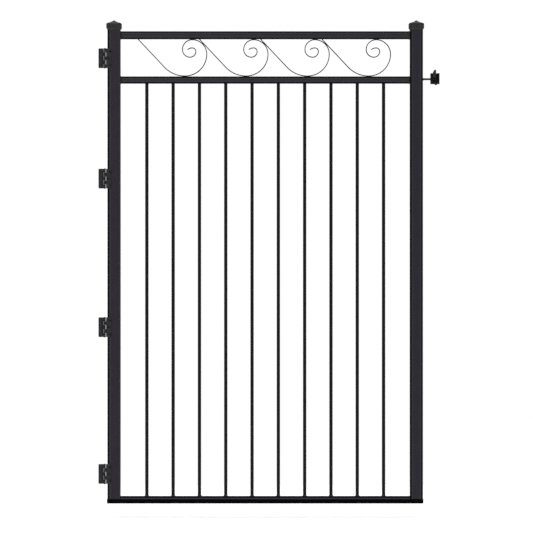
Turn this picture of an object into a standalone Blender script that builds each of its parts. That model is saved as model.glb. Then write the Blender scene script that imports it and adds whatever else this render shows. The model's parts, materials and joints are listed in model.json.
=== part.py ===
"""Garden gate: a welded steel frame with pickets and scrollwork, hung on four
butt hinges, with a striker rod that a lift-up catch holds.

Units are metres. +X runs from the hinge side to the latch side, +Y from the
front to the back and +Z up. The origin is the centre of the back face of the
lowest hinge's post leaf, where the gate is fastened to its fence post.
"""

from math import cos, pi, radians, sin

import bmesh
import bpy
from mathutils import Matrix, Vector

# Gaps
GAP = 0.0003  # between pieces that touch, and between the knuckles of a hinge
PIN_CLEARANCE = 0.0001  # round a hinge pin or the catch's pivot
ROUND_SIDES = 24  # of a knuckle, a pin or any other turned part
HOLE_SIDES = 16

# Hinges, measured outwards from the pin
LEAF_WIDTH = 0.0245
LEAF_HEIGHT = 0.076
LEAF_THICKNESS = 0.002
LEAF_CORNER = 0.003
KNUCKLE_COUNT = 5
KNUCKLE_RADIUS = 0.00375
PIN_RADIUS = 0.002
PIN_HEAD_RADIUS = 0.0033
PIN_HEAD_HEIGHT = 0.0014
POST_LEAF_INNER_EDGE = 0.0042
GATE_LEAF_INNER_EDGE = 0.0047
POST_HOLE_RADIUS = 0.0026
SCREW_ROW = 0.026  # the outer screws, above and below the hinge's middle
OUTER_SCREW_OUT = 0.0205
POST_MIDDLE_HOLE_OUT = 0.011
GATE_MIDDLE_SCREW_OUT = 0.014
HINGE_HEIGHTS = (1.7205, 1.2555, 0.6815, 0.1146)  # above the gate's bottom

# Gate frame
GATE_WIDTH = 1.2192
STILE_SIDE = 0.050
STILE_WALL = 0.002
STILE_CORNER = 0.0035
STILE_TOP = 1.852  # inside the cap
PIN_TO_STILE = 0.010
TOP_RAIL_SIDE = 0.030
TOP_RAIL_BOTTOM = 1.7953
RAIL_HEIGHT = 0.0273
RAIL_WALL = 0.0016
RAIL_CORNER = 0.002
MID_RAIL_BOTTOM = 1.6235
PICKET_COUNT = 10
PICKET_SIDE = 0.0127
PICKET_WALL = 0.0012
PICKET_CORNER = 0.0015
GUARD_WALL = 0.0015
GUARD_HEIGHT = 0.0166

# Post caps: height above the gate's bottom, and half the width there
CAP_PROFILE = (
    (1.8325, 0.0264),
    (1.8370, 0.0295),
    (1.8530, 0.0295),
    (1.8560, 0.0280),
    (1.8578, 0.0240),
    (1.8600, 0.0165),
    (1.8625, 0.0105),
    (1.8660, 0.0045),
    (1.8680, 0.0020),
)

# Scrolls, bent from flat bar: each arc's radius, in the order they are bent
BAR_THICKNESS = 0.0034
BAR_DEPTH = 0.012
SCROLL_COUNT = 4
SCROLL_MARGIN = 0.0693  # from the hinge stile to the first scroll's upper end
SLOPE = radians(46.8)
SWEEP_RADIUS = 0.1088
BELLY_RADIUS = 0.0846
CURL_RADII = (0.0381, 0.0296, 0.0223, 0.0136)
LIP_RADIUS = 0.029
LIP_TURN = radians(40)
ARC_STEP = radians(7.5)

# Screws
SCREW_HEAD_RADIUS = 0.0042
SCREW_HEAD_HEIGHT = 0.002
SCREW_SHANK_RADIUS = 0.0019
SCREW_LENGTH = 0.014
SCREW_TIP = 0.003

# Latch, with the catch measured from the latch stile and the gate's bottom
ROD_RADIUS = 0.00375
ROD_HEIGHT = 1.6405
CATCH_OUT = 0.0295
CATCH_WIDTH = 0.0346
CATCH_BOTTOM = 1.6215
CATCH_TOP = 1.663
CATCH_DEPTH = 0.036
CATCH_WALL = 0.003
ROD_TO_CATCH_BACK = 0.016
ROD_END_TO_CATCH_SIDE = 0.0095
SLOT_RADIUS = 0.00475
LUG_RADIUS = 0.005
LUG_OUT = 0.050
LUG_THICKNESS = 0.006
LUG_SET_BACK = 0.001  # behind the housing's front edge
CATCH_SCREW_INSET = 0.0095  # from the nearest edges of the housing's far wall
PAWL_WIDTH = 0.0135
PAWL_OUT = 0.0445
PAWL_SIDE_ROOM = 0.001
PIVOT_BEHIND_ROD = 0.007
PIVOT_ABOVE_ROD = 0.0125
PIVOT_RADIUS = 0.002
HUB_RADIUS = 0.005
PAWL_NOTCH_BACK = 0.0039  # from the housing's back to the end of the pawl's notch
TAB_FOOT = 0.011  # height above the pivot where the tab starts to narrow
TAB_TAPER = radians(27)

# Places worked out from the sizes above
PIN_X = (POST_LEAF_INNER_EDGE + LEAF_WIDTH) / 2
PIN_Y = -KNUCKLE_RADIUS
BOTTOM = -HINGE_HEIGHTS[-1]
LEFT = PIN_X + PIN_TO_STILE
RIGHT = LEFT + GATE_WIDTH
STILES = (("hinge_stile", LEFT + STILE_SIDE / 2), ("latch_stile", RIGHT - STILE_SIDE / 2))
FRONT = GAP
MIDDLE_Y = FRONT + STILE_SIDE / 2
STILE_BOTTOM = BOTTOM + GUARD_WALL + GAP
OPENING_LEFT = LEFT + STILE_SIDE
OPENING_RIGHT = RIGHT - STILE_SIDE
ROD_Z = BOTTOM + ROD_HEIGHT
CATCH_LEFT = RIGHT + CATCH_OUT
CATCH_RIGHT = CATCH_LEFT + CATCH_WIDTH
CATCH_BACK = MIDDLE_Y + ROD_TO_CATCH_BACK
CATCH_FRONT = CATCH_BACK - CATCH_DEPTH
PIVOT = Vector((RIGHT + PAWL_OUT, MIDDLE_Y + PIVOT_BEHIND_ROD, ROD_Z + PIVOT_ABOVE_ROD))


def clear_scene():
    for old in list(bpy.data.objects):
        bpy.data.objects.remove(old)


def new_collection(name):
    made = bpy.data.collections.new(name)
    bpy.context.scene.collection.children.link(made)
    return made


def new_material(name, colour, roughness, metallic):
    made = bpy.data.materials.new(name)
    made.use_nodes = True
    shader = made.node_tree.nodes["Principled BSDF"]
    shader.inputs["Base Color"].default_value = (*colour, 1.0)
    shader.inputs["Roughness"].default_value = roughness
    shader.inputs["Metallic"].default_value = metallic
    made.diffuse_color = (*colour, 1.0)
    return made


clear_scene()
PARTS = new_collection("garden_gate")
HELPERS = new_collection("cutters")
FRAME_COAT = new_material("charcoal_powder_coat", (0.032, 0.031, 0.035), 0.45, 0.0)
PICKET_COAT = new_material("black_powder_coat", (0.014, 0.014, 0.016), 0.45, 0.0)
CAP_COAT = new_material("cap_coat", (0.040, 0.039, 0.040), 0.5, 0.0)
HARDWARE_COAT = new_material("hardware_e_coat", (0.022, 0.022, 0.024), 0.4, 0.3)
GUARD_RUBBER = new_material("black_rubber", (0.003, 0.003, 0.004), 0.6, 0.0)


def add_object(name, mesh, material, collection=PARTS):
    made = bpy.data.objects.new(name, mesh)
    collection.objects.link(made)
    if material is not None:
        mesh.materials.append(material)
    return made


def mesh_from(name, shape, smooth=False):
    """A mesh made from a bmesh, which is freed."""
    bmesh.ops.recalc_face_normals(shape, faces=shape.faces)
    mesh = bpy.data.meshes.new(name)
    shape.to_mesh(mesh)
    shape.free()
    if smooth:
        mesh.shade_smooth()
        mesh.set_sharp_from_angle(angle=radians(35))
    return mesh


def parented(child, parent, location):
    child.parent = parent
    child.location = location
    return child


def add_box(shape, low, high):
    """Adds a box to a bmesh, between two corners."""
    size = Vector(high) - Vector(low)
    place = Matrix.Translation((Vector(high) + Vector(low)) / 2) @ Matrix.Diagonal((*size, 1))
    return bmesh.ops.create_cube(shape, size=1, matrix=place)["verts"]


def add_cylinder(shape, centre, direction, radius, length, sides):
    """Adds a cylinder to a bmesh, with its middle at centre and its axis along direction."""
    turn = Vector((0, 0, 1)).rotation_difference(Vector(direction)).to_matrix().to_4x4()
    bmesh.ops.create_cone(
        shape,
        cap_ends=True,
        segments=sides,
        radius1=radius,
        radius2=radius,
        depth=length,
        matrix=Matrix.Translation(centre) @ turn,
    )


def helper(name, shape):
    """An object that only cuts or joins another one, so it stays out of the render."""
    made = add_object(name, mesh_from(name, shape), None, HELPERS)
    made.hide_render = True
    made.display_type = "WIRE"
    return made


def box_helper(name, low, high):
    shape = bmesh.new()
    add_box(shape, low, high)
    return helper(name, shape)


def combine(target, other, operation):
    step = target.modifiers.new(other.name, "BOOLEAN")
    step.operation = operation
    step.solver = "EXACT"
    step.object = other
    return step


def square_tube(name, width, depth, length, wall, corner, material):
    """A tube along Z, centred on the origin, with rounded corners and open ends."""
    shape = bmesh.new()
    bmesh.ops.create_cube(shape, size=1, matrix=Matrix.Diagonal((width, depth, length, 1)))
    ends = [face for face in shape.faces if abs(face.normal.z) > 0.5]
    bmesh.ops.delete(shape, geom=ends, context="FACES_ONLY")
    long_edges = [edge for edge in shape.edges if len(edge.link_faces) == 2]
    bmesh.ops.bevel(
        shape, geom=long_edges, offset=corner, segments=3, profile=0.5, affect="EDGES", material=-1
    )
    tube = add_object(name, mesh_from(name, shape, smooth=True), material)
    thicken = tube.modifiers.new("wall", "SOLIDIFY")
    thicken.thickness = wall
    thicken.offset = -1
    thicken.use_even_offset = True
    return tube


def turned(name, profile, steps, material, collection=PARTS):
    """A solid turned round Z from (radius, height) points that run from the top down."""
    shape = bmesh.new()
    verts = [shape.verts.new((radius, 0, height)) for radius, height in profile]
    for upper, lower in zip(verts, verts[1:]):
        shape.edges.new((upper, lower))
    mesh = bpy.data.meshes.new(name)
    shape.to_mesh(mesh)
    shape.free()
    made = add_object(name, mesh, material, collection)
    screw = made.modifiers.new("turn", "SCREW")
    screw.steps = steps
    screw.render_steps = steps
    screw.use_merge_vertices = True
    screw.merge_threshold = 0.00001
    screw.use_smooth_shade = True
    return made


def flat_outline(name, points, thickness, material):
    """A flat plate in the XY plane, extruded half its thickness to each side, as a mesh."""
    curve = bpy.data.curves.new(name, "CURVE")
    curve.dimensions = "2D"
    curve.fill_mode = "BOTH"
    curve.extrude = thickness / 2
    line = curve.splines.new("POLY")
    line.points.add(len(points) - 1)
    line.use_cyclic_u = True
    for point, (x, y) in zip(line.points, points):
        point.co = (x, y, 0, 1)
    return curve_to_mesh(name, curve, material)


def curve_to_mesh(name, curve, material):
    """Makes a curve a mesh with its loose caps welded on, and removes the curve."""
    drawn = bpy.data.objects.new(name + "_curve", curve)
    PARTS.objects.link(drawn)
    bpy.context.view_layer.update()
    evaluated = drawn.evaluated_get(bpy.context.evaluated_depsgraph_get())
    mesh = bpy.data.meshes.new_from_object(evaluated)
    mesh.name = name
    shape = bmesh.new()
    shape.from_mesh(mesh)
    bmesh.ops.remove_doubles(shape, verts=shape.verts, dist=0.000001)
    shape.to_mesh(mesh)
    shape.free()
    mesh.materials.clear()
    made = add_object(name, mesh, material)
    made.matrix_world = drawn.matrix_world
    bpy.data.objects.remove(drawn)
    return made


def arc(centre, radius, start, turn, step=ARC_STEP):
    """Points along an arc, from the angle start through turn, both ends included."""
    count = max(1, round(abs(turn) / step))
    angles = [start + turn * i / count for i in range(count + 1)]
    return [(centre[0] + radius * cos(a), centre[1] + radius * sin(a)) for a in angles]


# Frame of the gate


def make_gate_axis():
    """The empty on the hinge pins' axis, which carries everything that swings."""
    axis = bpy.data.objects.new("gate_axis", None)
    PARTS.objects.link(axis)
    axis.location = (PIN_X, PIN_Y, 0)
    return axis


def on_gate(piece, gate_axis, x, y, z):
    """Places a piece on the gate at world coordinates."""
    return parented(piece, gate_axis, Vector((x, y, z)) - gate_axis.location)


def make_stiles(gate_axis):
    height = BOTTOM + STILE_TOP - STILE_BOTTOM
    middle = STILE_BOTTOM + height / 2
    for name, x in STILES:
        stile = square_tube(
            name, STILE_SIDE, STILE_SIDE, height, STILE_WALL, STILE_CORNER, FRAME_COAT
        )
        on_gate(stile, gate_axis, x, MIDDLE_Y, middle)
        if name == "hinge_stile":
            combine(stile, pilot_holes(), "DIFFERENCE")


def pilot_holes():
    """Cutter for the holes in the hinge stile's front wall that the hinge screws go into."""
    shape = bmesh.new()
    for height in HINGE_HEIGHTS:
        for out, up in gate_screw_places():
            centre = (PIN_X + out, FRONT, BOTTOM + height + up)
            radius = SCREW_SHANK_RADIUS + GAP
            add_cylinder(shape, centre, (0, 1, 0), radius, STILE_WALL * 4, HOLE_SIDES)
    return helper("pilot_hole_cutter", shape)


def make_caps(gate_axis):
    for stile, x in STILES:
        name = stile + "_cap"
        shape = bmesh.new()
        base_z, base_half = CAP_PROFILE[0]
        corners = [(-1, -1), (1, -1), (1, 1), (-1, 1)]
        ring = [shape.verts.new((i * base_half, j * base_half, base_z)) for i, j in corners]
        top = shape.faces.new(ring)
        for (low, low_half), (high, high_half) in zip(CAP_PROFILE, CAP_PROFILE[1:]):
            top = raise_face(shape, top, high - low, high_half / low_half)
        bmesh.ops.contextual_create(shape, geom=[e for e in shape.edges if e.is_boundary])
        cap = add_object(name, mesh_from(name, shape), CAP_COAT)
        on_gate(cap, gate_axis, x, MIDDLE_Y, BOTTOM)
        room = STILE_SIDE / 2 + GAP
        socket = box_helper(
            name + "_socket_cutter",
            (x - room, MIDDLE_Y - room, BOTTOM + CAP_PROFILE[0][0] - room),
            (x + room, MIDDLE_Y + room, BOTTOM + STILE_TOP + GAP),
        )
        combine(cap, socket, "DIFFERENCE")


def raise_face(shape, face, rise, grow):
    """Extrudes a flat face straight up and scales it about its middle."""
    made = bmesh.ops.extrude_face_region(shape, geom=[face])["geom"]
    bmesh.ops.delete(shape, geom=[face], context="FACES_ONLY")
    raised = next(item for item in made if isinstance(item, bmesh.types.BMFace))
    bmesh.ops.translate(shape, verts=raised.verts, vec=(0, 0, rise))
    bmesh.ops.scale(
        shape,
        verts=raised.verts,
        vec=(grow, grow, 1),
        space=Matrix.Translation(-raised.calc_center_median()),
    )
    return raised


def make_rails(gate_axis):
    length = OPENING_RIGHT - OPENING_LEFT - 2 * GAP
    middle_x = (OPENING_LEFT + OPENING_RIGHT) / 2
    rails = (
        ("top_rail", TOP_RAIL_SIDE, TOP_RAIL_SIDE, BOTTOM + TOP_RAIL_BOTTOM + TOP_RAIL_SIDE / 2),
        ("mid_rail", RAIL_HEIGHT, RAIL_HEIGHT, BOTTOM + MID_RAIL_BOTTOM + RAIL_HEIGHT / 2),
        ("bottom_rail", bottom_rail_height(), STILE_SIDE, STILE_BOTTOM + bottom_rail_height() / 2),
    )
    for name, height, depth, z in rails:
        rail = square_tube(name, height, depth, length, RAIL_WALL, RAIL_CORNER, FRAME_COAT)
        rail.rotation_euler = (0, pi / 2, 0)
        on_gate(rail, gate_axis, middle_x, MIDDLE_Y, z)


def bottom_rail_height():
    return RAIL_HEIGHT - GUARD_WALL - GAP


def make_guard(gate_axis):
    """The tray that closes and protects the feet of the stiles and the bottom rail."""
    shape = bmesh.new()
    room = GAP + GUARD_WALL
    low = Vector((LEFT - room, FRONT - room, BOTTOM))
    high = Vector((RIGHT + room, FRONT + STILE_SIDE + room, BOTTOM + GUARD_HEIGHT))
    middle = (low + high) / 2
    add_box(shape, low - middle, high - middle)
    top = [face for face in shape.faces if face.normal.z > 0.5]
    bmesh.ops.delete(shape, geom=top, context="FACES_ONLY")
    guard = add_object("bottom_guard", mesh_from("bottom_guard", shape), GUARD_RUBBER)
    on_gate(guard, gate_axis, *middle)
    thicken = guard.modifiers.new("wall", "SOLIDIFY")
    thicken.thickness = GUARD_WALL
    thicken.offset = -1
    thicken.use_even_offset = True


def make_pickets(gate_axis):
    low = BOTTOM + RAIL_HEIGHT + GAP
    high = BOTTOM + MID_RAIL_BOTTOM - GAP
    pitch = (OPENING_RIGHT - OPENING_LEFT) / (PICKET_COUNT + 1)
    for i in range(1, PICKET_COUNT + 1):
        picket = square_tube(
            f"picket_{i:02d}",
            PICKET_SIDE,
            PICKET_SIDE,
            high - low,
            PICKET_WALL,
            PICKET_CORNER,
            PICKET_COAT,
        )
        on_gate(picket, gate_axis, OPENING_LEFT + i * pitch, MIDDLE_Y, (low + high) / 2)


# Scrolls


def scroll_band():
    """Height of the bottom and of the top of the scrolls' centre lines."""
    low = BOTTOM + MID_RAIL_BOTTOM + RAIL_HEIGHT + GAP + BAR_THICKNESS / 2
    high = BOTTOM + TOP_RAIL_BOTTOM - GAP - BAR_THICKNESS / 2
    return low, high


def scroll_path():
    """Centre line of one scroll, as (x, z) with its lowest point at (0, 0).

    A straight comes down from the top rail and sweeps into the belly, which
    touches the mid rail. The shoulder rises to the top rail, and the curl
    winds in from there, a quarter turn to each radius.
    """
    low, high = scroll_band()
    sweep_end = (-SWEEP_RADIUS * sin(SLOPE), SWEEP_RADIUS * (1 - cos(SLOPE)))
    end_corner = BAR_THICKNESS / 2 * (1 - cos(SLOPE))
    rise = high - low + end_corner - sweep_end[1]
    points = [(sweep_end[0] - rise * cos(SLOPE) / sin(SLOPE), sweep_end[1] + rise)]
    points += arc((0, SWEEP_RADIUS), SWEEP_RADIUS, -pi / 2 - SLOPE, SLOPE)[:-1]
    shoulder_radius = high - low - BELLY_RADIUS
    place = (0, 0)
    heading = 0
    for radius in (BELLY_RADIUS, shoulder_radius, *CURL_RADII):
        centre = (place[0] - radius * sin(heading), place[1] + radius * cos(heading))
        points += arc(centre, radius, heading - pi / 2, pi / 2)[:-1]
        heading += pi / 2
        place = (centre[0] + radius * sin(heading), centre[1] - radius * cos(heading))
    centre = (place[0] - LIP_RADIUS * sin(heading), place[1] + LIP_RADIUS * cos(heading))
    return points + arc(centre, LIP_RADIUS, heading - pi / 2, LIP_TURN)


def scroll_pitch():
    """Spacing at which each scroll's straight just clears the shoulder before it."""
    low, high = scroll_band()
    shoulder_radius = high - low - BELLY_RADIUS
    clear = shoulder_radius + BAR_THICKNESS + GAP
    rise = BELLY_RADIUS - SWEEP_RADIUS * (1 - cos(SLOPE))
    run = BELLY_RADIUS - shoulder_radius + SWEEP_RADIUS * sin(SLOPE)
    return run + (rise * cos(SLOPE) + clear) / sin(SLOPE)


def make_scrolls(gate_axis):
    path = scroll_path()
    low, _ = scroll_band()
    first_x = OPENING_LEFT + SCROLL_MARGIN - path[0][0]
    for i in range(SCROLL_COUNT):
        name = f"scroll_{i + 1}"
        curve = bpy.data.curves.new(name, "CURVE")
        curve.dimensions = "2D"
        curve.fill_mode = "NONE"
        curve.extrude = BAR_DEPTH / 2
        line = curve.splines.new("POLY")
        line.points.add(len(path) - 1)
        for point, (x, z) in zip(line.points, path):
            point.co = (x, z, 0, 1)
        scroll = curve_to_mesh(name, curve, PICKET_COAT)
        scroll.data.shade_smooth()
        scroll.rotation_euler = (pi / 2, 0, 0)
        on_gate(scroll, gate_axis, first_x + i * scroll_pitch(), MIDDLE_Y, low)
        thicken = scroll.modifiers.new("bar", "SOLIDIFY")
        thicken.thickness = BAR_THICKNESS
        thicken.offset = 0
        thicken.use_even_offset = True


# Hinges


def knuckle_spans():
    """(bottom, top) of each knuckle about the hinge's middle, from the top down."""
    pitch = LEAF_HEIGHT / KNUCKLE_COUNT
    spans = []
    for i in range(KNUCKLE_COUNT):
        top = LEAF_HEIGHT / 2 - i * pitch
        high = top if i == 0 else top - GAP / 2
        low = top - pitch if i == KNUCKLE_COUNT - 1 else top - pitch + GAP / 2
        spans.append((low, high))
    return spans


def leaf_outline(inner_edge, spans):
    """Leaf seen flat: x out from the pin, y up, with a tab in to the pin at each knuckle."""
    half = LEAF_HEIGHT / 2
    round_at = LEAF_WIDTH - LEAF_CORNER
    quarter_step = pi / 6
    points = arc((round_at, LEAF_CORNER - half), LEAF_CORNER, -pi / 2, pi / 2, quarter_step)
    points += arc((round_at, half - LEAF_CORNER), LEAF_CORNER, 0, pi / 2, quarter_step)
    for low, high in spans:
        if high < half:
            points.append((inner_edge, high))
        points += [(0, high), (0, low)]
        if low > -half:
            points.append((inner_edge, low))
    if spans[0][1] < half:
        points.insert(len(points) - 4 * len(spans), (inner_edge, half))
    if spans[-1][0] > -half:
        points.append((inner_edge, -half))
    return points


def knuckle_helper(name, spans):
    shape = bmesh.new()
    for low, high in spans:
        add_cylinder(
            shape, (0, 0, (low + high) / 2), (0, 0, 1), KNUCKLE_RADIUS, high - low, ROUND_SIDES
        )
    return helper(name + "_knuckles", shape)


def hole_helper(name, side, holes, radius):
    """Cutter for a leaf's pin bore and screw holes. Holes are (out, up) from the pin."""
    shape = bmesh.new()
    bore = PIN_RADIUS + PIN_CLEARANCE
    add_cylinder(shape, (0, 0, 0), (0, 0, 1), bore, LEAF_HEIGHT * 1.2, ROUND_SIDES)
    for out, up in holes:
        centre = (side * out, KNUCKLE_RADIUS, up)
        add_cylinder(shape, centre, (0, 1, 0), radius, LEAF_THICKNESS * 4, HOLE_SIDES)
    return helper(name + "_cutter", shape)


def make_leaf(name, side, own_first, inner_edge, holes, hole_radius, centre):
    """One leaf of a hinge. side is -1 for the post's leaf and 1 for the gate's."""
    spans = knuckle_spans()[0 if own_first else 1 :: 2]
    leaf = flat_outline(name, leaf_outline(inner_edge, spans), LEAF_THICKNESS, HARDWARE_COAT)
    stand_up = Matrix.Rotation(pi / 2, 4, "X")
    turn_round = Matrix.Rotation(0 if side > 0 else pi, 4, "Z")
    back = Matrix.Translation((0, KNUCKLE_RADIUS - LEAF_THICKNESS / 2, 0))
    leaf.data.transform(back @ turn_round @ stand_up)
    leaf.location = centre
    for other in (knuckle_helper(name, spans), hole_helper(name, side, holes, hole_radius)):
        other.location = centre
        combine(leaf, other, "UNION" if other.name.endswith("knuckles") else "DIFFERENCE")
    return leaf


def make_pin(name, centre):
    """A pin with a domed head at each end, the lower one peened over in assembly."""
    head_seat = LEAF_HEIGHT / 2 + GAP
    end = head_seat + PIN_HEAD_HEIGHT
    shoulder = head_seat + PIN_HEAD_HEIGHT / 2
    upper = [
        (0, end),
        (PIN_HEAD_RADIUS * 0.7, end),
        (PIN_HEAD_RADIUS, shoulder),
        (PIN_HEAD_RADIUS, head_seat),
        (PIN_RADIUS, head_seat),
    ]
    lower = [(radius, -height) for radius, height in reversed(upper)]
    pin = turned(name, upper + lower, ROUND_SIDES, HARDWARE_COAT)
    pin.location = centre
    return pin


def gate_screw_places():
    """(out, up) of a gate leaf's screws from the pin at the hinge's middle."""
    return (
        (OUTER_SCREW_OUT, SCREW_ROW),
        (GATE_MIDDLE_SCREW_OUT, 0),
        (OUTER_SCREW_OUT, -SCREW_ROW),
    )


def make_screw(name):
    """A pan-head screw along Z, with the underside of its head at the origin."""
    profile = [
        (0, SCREW_HEAD_HEIGHT),
        (SCREW_HEAD_RADIUS * 0.6, SCREW_HEAD_HEIGHT * 0.9),
        (SCREW_HEAD_RADIUS, SCREW_HEAD_HEIGHT * 0.4),
        (SCREW_HEAD_RADIUS, 0),
        (SCREW_SHANK_RADIUS, 0),
        (SCREW_SHANK_RADIUS, SCREW_TIP - SCREW_LENGTH),
        (0, -SCREW_LENGTH),
    ]
    return turned(name, profile, HOLE_SIDES, HARDWARE_COAT)


def make_hinges(gate_axis):
    """Four hinges. The top one is the other way up, so it can't lift off the others."""
    for number, height in enumerate(HINGE_HEIGHTS, start=1):
        name = f"hinge_{number}"
        centre = Vector((PIN_X, PIN_Y, BOTTOM + height))
        gate_first = number == 1
        post_holes = (
            (OUTER_SCREW_OUT, SCREW_ROW),
            (POST_MIDDLE_HOLE_OUT, 0),
            (OUTER_SCREW_OUT, -SCREW_ROW),
        )
        make_leaf(
            name + "_post_leaf",
            -1,
            not gate_first,
            POST_LEAF_INNER_EDGE,
            post_holes,
            POST_HOLE_RADIUS,
            centre,
        )
        gate_leaf = make_leaf(
            name + "_gate_leaf",
            1,
            gate_first,
            GATE_LEAF_INNER_EDGE,
            gate_screw_places(),
            SCREW_SHANK_RADIUS + GAP,
            centre,
        )
        on_gate(gate_leaf, gate_axis, *centre)
        make_pin(name + "_pin", centre)
        for i, (out, up) in enumerate(gate_screw_places(), start=1):
            screw = make_screw(f"{name}_screw_{i}")
            screw.rotation_euler = (pi / 2, 0, 0)
            head_seat = -LEAF_THICKNESS - GAP
            on_gate(screw, gate_axis, PIN_X + out, head_seat, centre.z + up)


# Latch


def make_striker_rod(gate_axis):
    end_x = CATCH_RIGHT - ROD_END_TO_CATCH_SIDE
    start_x = RIGHT + GAP
    length = end_x - start_x
    profile = [
        (0, length / 2),
        (ROD_RADIUS * 0.7, length / 2),
        (ROD_RADIUS, length / 2 - ROD_RADIUS * 0.4),
        (ROD_RADIUS, -length / 2),
        (0, -length / 2),
    ]
    rod = turned("striker_rod", profile, ROUND_SIDES, HARDWARE_COAT)
    rod.rotation_euler = (0, pi / 2, 0)
    on_gate(rod, gate_axis, (start_x + end_x) / 2, MIDDLE_Y, ROD_Z)


def make_catch_housing():
    """An open-fronted box for the latch post, slotted for the rod and the pawl."""
    middle = Vector(
        (
            (CATCH_LEFT + CATCH_RIGHT) / 2,
            (CATCH_FRONT + CATCH_BACK) / 2,
            BOTTOM + (CATCH_BOTTOM + CATCH_TOP) / 2,
        )
    )
    half = Vector((CATCH_WIDTH, CATCH_DEPTH, CATCH_TOP - CATCH_BOTTOM)) / 2
    shape = bmesh.new()
    add_box(shape, -half, half)
    housing = add_object("catch_housing", mesh_from("catch_housing", shape), HARDWARE_COAT)
    housing.location = middle
    combine(housing, lug_helper(), "UNION")
    for cutter in (pocket_cutter(), *rod_slot_cutters(), pawl_notch_cutter(), fixing_cutter()):
        combine(housing, cutter, "DIFFERENCE")


def lug_helper():
    """A stop lug under the front edge of the housing."""
    shape = bmesh.new()
    centre = (
        RIGHT + LUG_OUT,
        CATCH_FRONT + LUG_THICKNESS / 2 + LUG_SET_BACK,
        BOTTOM + CATCH_BOTTOM,
    )
    add_cylinder(shape, centre, (0, 1, 0), LUG_RADIUS, LUG_THICKNESS, ROUND_SIDES)
    return helper("catch_lug", shape)


def pocket_cutter():
    return box_helper(
        "catch_pocket_cutter",
        (CATCH_LEFT + CATCH_WALL, CATCH_FRONT - CATCH_WALL, BOTTOM + CATCH_BOTTOM + CATCH_WALL),
        (CATCH_RIGHT - CATCH_WALL, CATCH_BACK - CATCH_WALL, BOTTOM + CATCH_TOP - CATCH_WALL),
    )


def rod_slot_cutters():
    """The slot in the near wall that lets the rod leave forwards, and its round end."""
    run = box_helper(
        "rod_slot_cutter",
        (CATCH_LEFT - CATCH_WALL, CATCH_FRONT - CATCH_WALL, ROD_Z - SLOT_RADIUS),
        (CATCH_LEFT + CATCH_WALL * 1.5, MIDDLE_Y, ROD_Z + SLOT_RADIUS),
    )
    shape = bmesh.new()
    centre = (CATCH_LEFT + CATCH_WALL / 4, MIDDLE_Y, ROD_Z)
    add_cylinder(shape, centre, (1, 0, 0), SLOT_RADIUS, CATCH_WALL * 2.5, ROUND_SIDES)
    return run, helper("rod_slot_end_cutter", shape)


def pawl_notch_cutter():
    """The notch in the top wall that the pawl rises through."""
    room = PAWL_WIDTH / 2 + PAWL_SIDE_ROOM
    return box_helper(
        "pawl_notch_cutter",
        (PIVOT.x - room, CATCH_FRONT - CATCH_WALL, PIVOT.z),
        (PIVOT.x + room, CATCH_BACK - PAWL_NOTCH_BACK, BOTTOM + CATCH_TOP + CATCH_WALL),
    )


def fixing_cutter():
    """The pivot pin's holes, and the far wall's two screw holes."""
    shape = bmesh.new()
    add_cylinder(shape, PIVOT, (1, 0, 0), PIVOT_RADIUS + GAP, CATCH_WIDTH * 2, ROUND_SIDES)
    inset = CATCH_SCREW_INSET
    lower = (CATCH_RIGHT, CATCH_BACK - inset, BOTTOM + CATCH_BOTTOM + inset)
    upper = (CATCH_RIGHT, CATCH_FRONT + inset, BOTTOM + CATCH_TOP - inset)
    for centre in (lower, upper):
        add_cylinder(shape, centre, (1, 0, 0), POST_HOLE_RADIUS, CATCH_WALL * 4, HOLE_SIDES)
    return helper("catch_fixing_cutter", shape)


def make_pivot_pin():
    shape = bmesh.new()
    length = CATCH_WIDTH - 2 * GAP
    add_cylinder(shape, (0, 0, 0), (1, 0, 0), PIVOT_RADIUS, length, ROUND_SIDES)
    mesh = mesh_from("pawl_pin", shape, smooth=True)
    pin = add_object("pawl_pin", mesh, HARDWARE_COAT)
    pin.location = ((CATCH_LEFT + CATCH_RIGHT) / 2, PIVOT.y, PIVOT.z)


def pawl_outline():
    """Side view of the lifted pawl: x forwards from its pivot, y up."""
    hub = arc((0, 0), HUB_RADIUS, radians(-60), radians(-210), pi / 12)
    arm_and_tab = [(0.0095, 0.0085), (0.0140, 0.0120), (0.0165, 0.0235), (0.0195, 0.0235)]
    nose = [(0.0215, 0.0080), (0.0192, -0.0062), (0.0175, -0.0072), (0.0132, 0.0001)]
    return hub + arm_and_tab + nose


def make_pawl():
    """The catch's pawl, modelled lifted. Its sloped nose lets the rod push in past it."""
    pawl = flat_outline("catch_pawl", pawl_outline(), PAWL_WIDTH, HARDWARE_COAT)
    stand_up = Matrix.Rotation(pi / 2, 4, "X")
    face_front = Matrix.Rotation(-pi / 2, 4, "Z")
    pawl.data.transform(face_front @ stand_up)
    pawl.location = PIVOT
    shape = bmesh.new()
    bore = PIVOT_RADIUS + PIN_CLEARANCE
    add_cylinder(shape, PIVOT, (1, 0, 0), bore, CATCH_WIDTH, ROUND_SIDES)
    combine(pawl, helper("pawl_bore_cutter", shape), "DIFFERENCE")
    combine(pawl, tab_taper_cutter(), "DIFFERENCE")


def tab_taper_cutter():
    """Trims the tab's left side so that it narrows to its tip."""
    shape = bmesh.new()
    reach = 3 * PAWL_WIDTH
    add_box(shape, (-reach, -reach, 0), (0, reach, reach))
    lean = Matrix.Rotation(TAB_TAPER, 4, "Y")
    left_foot = Vector((PIVOT.x - PAWL_WIDTH / 2, PIVOT.y, PIVOT.z + TAB_FOOT))
    bmesh.ops.transform(shape, matrix=Matrix.Translation(left_foot) @ lean, verts=shape.verts)
    return helper("tab_taper_cutter", shape)


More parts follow.
